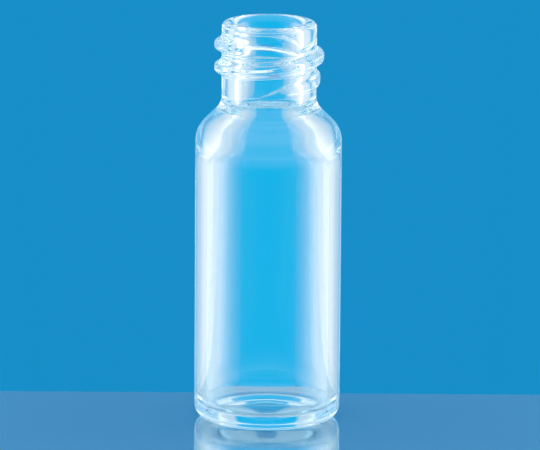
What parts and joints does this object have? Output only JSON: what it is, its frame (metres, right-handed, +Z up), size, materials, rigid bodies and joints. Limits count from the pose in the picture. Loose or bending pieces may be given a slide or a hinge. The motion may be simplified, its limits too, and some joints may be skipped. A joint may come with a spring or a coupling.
{
  "type": "glass sample vial",
  "caption": "Clear glass sample vial: round body, sloped shoulder, open neck with a round screw thread, flat lip and a slightly hollow base. Holds a small liquid sample.",
  "frame": {"origin": "centre of the ring that the vial stands on, on the plane of the table", "axes": "+Z up along the vial's axis and out of its mouth; +X to the right and +Y away from someone who looks at the side where the thread starts"},
  "size_m": [0.0116, 0.0116, 0.032],
  "materials": {
    "glass": "clear, fire-polished"
  },
  "bodies": {
    "root": {"glass_vial": "glass"}
  },
  "joints": []
}
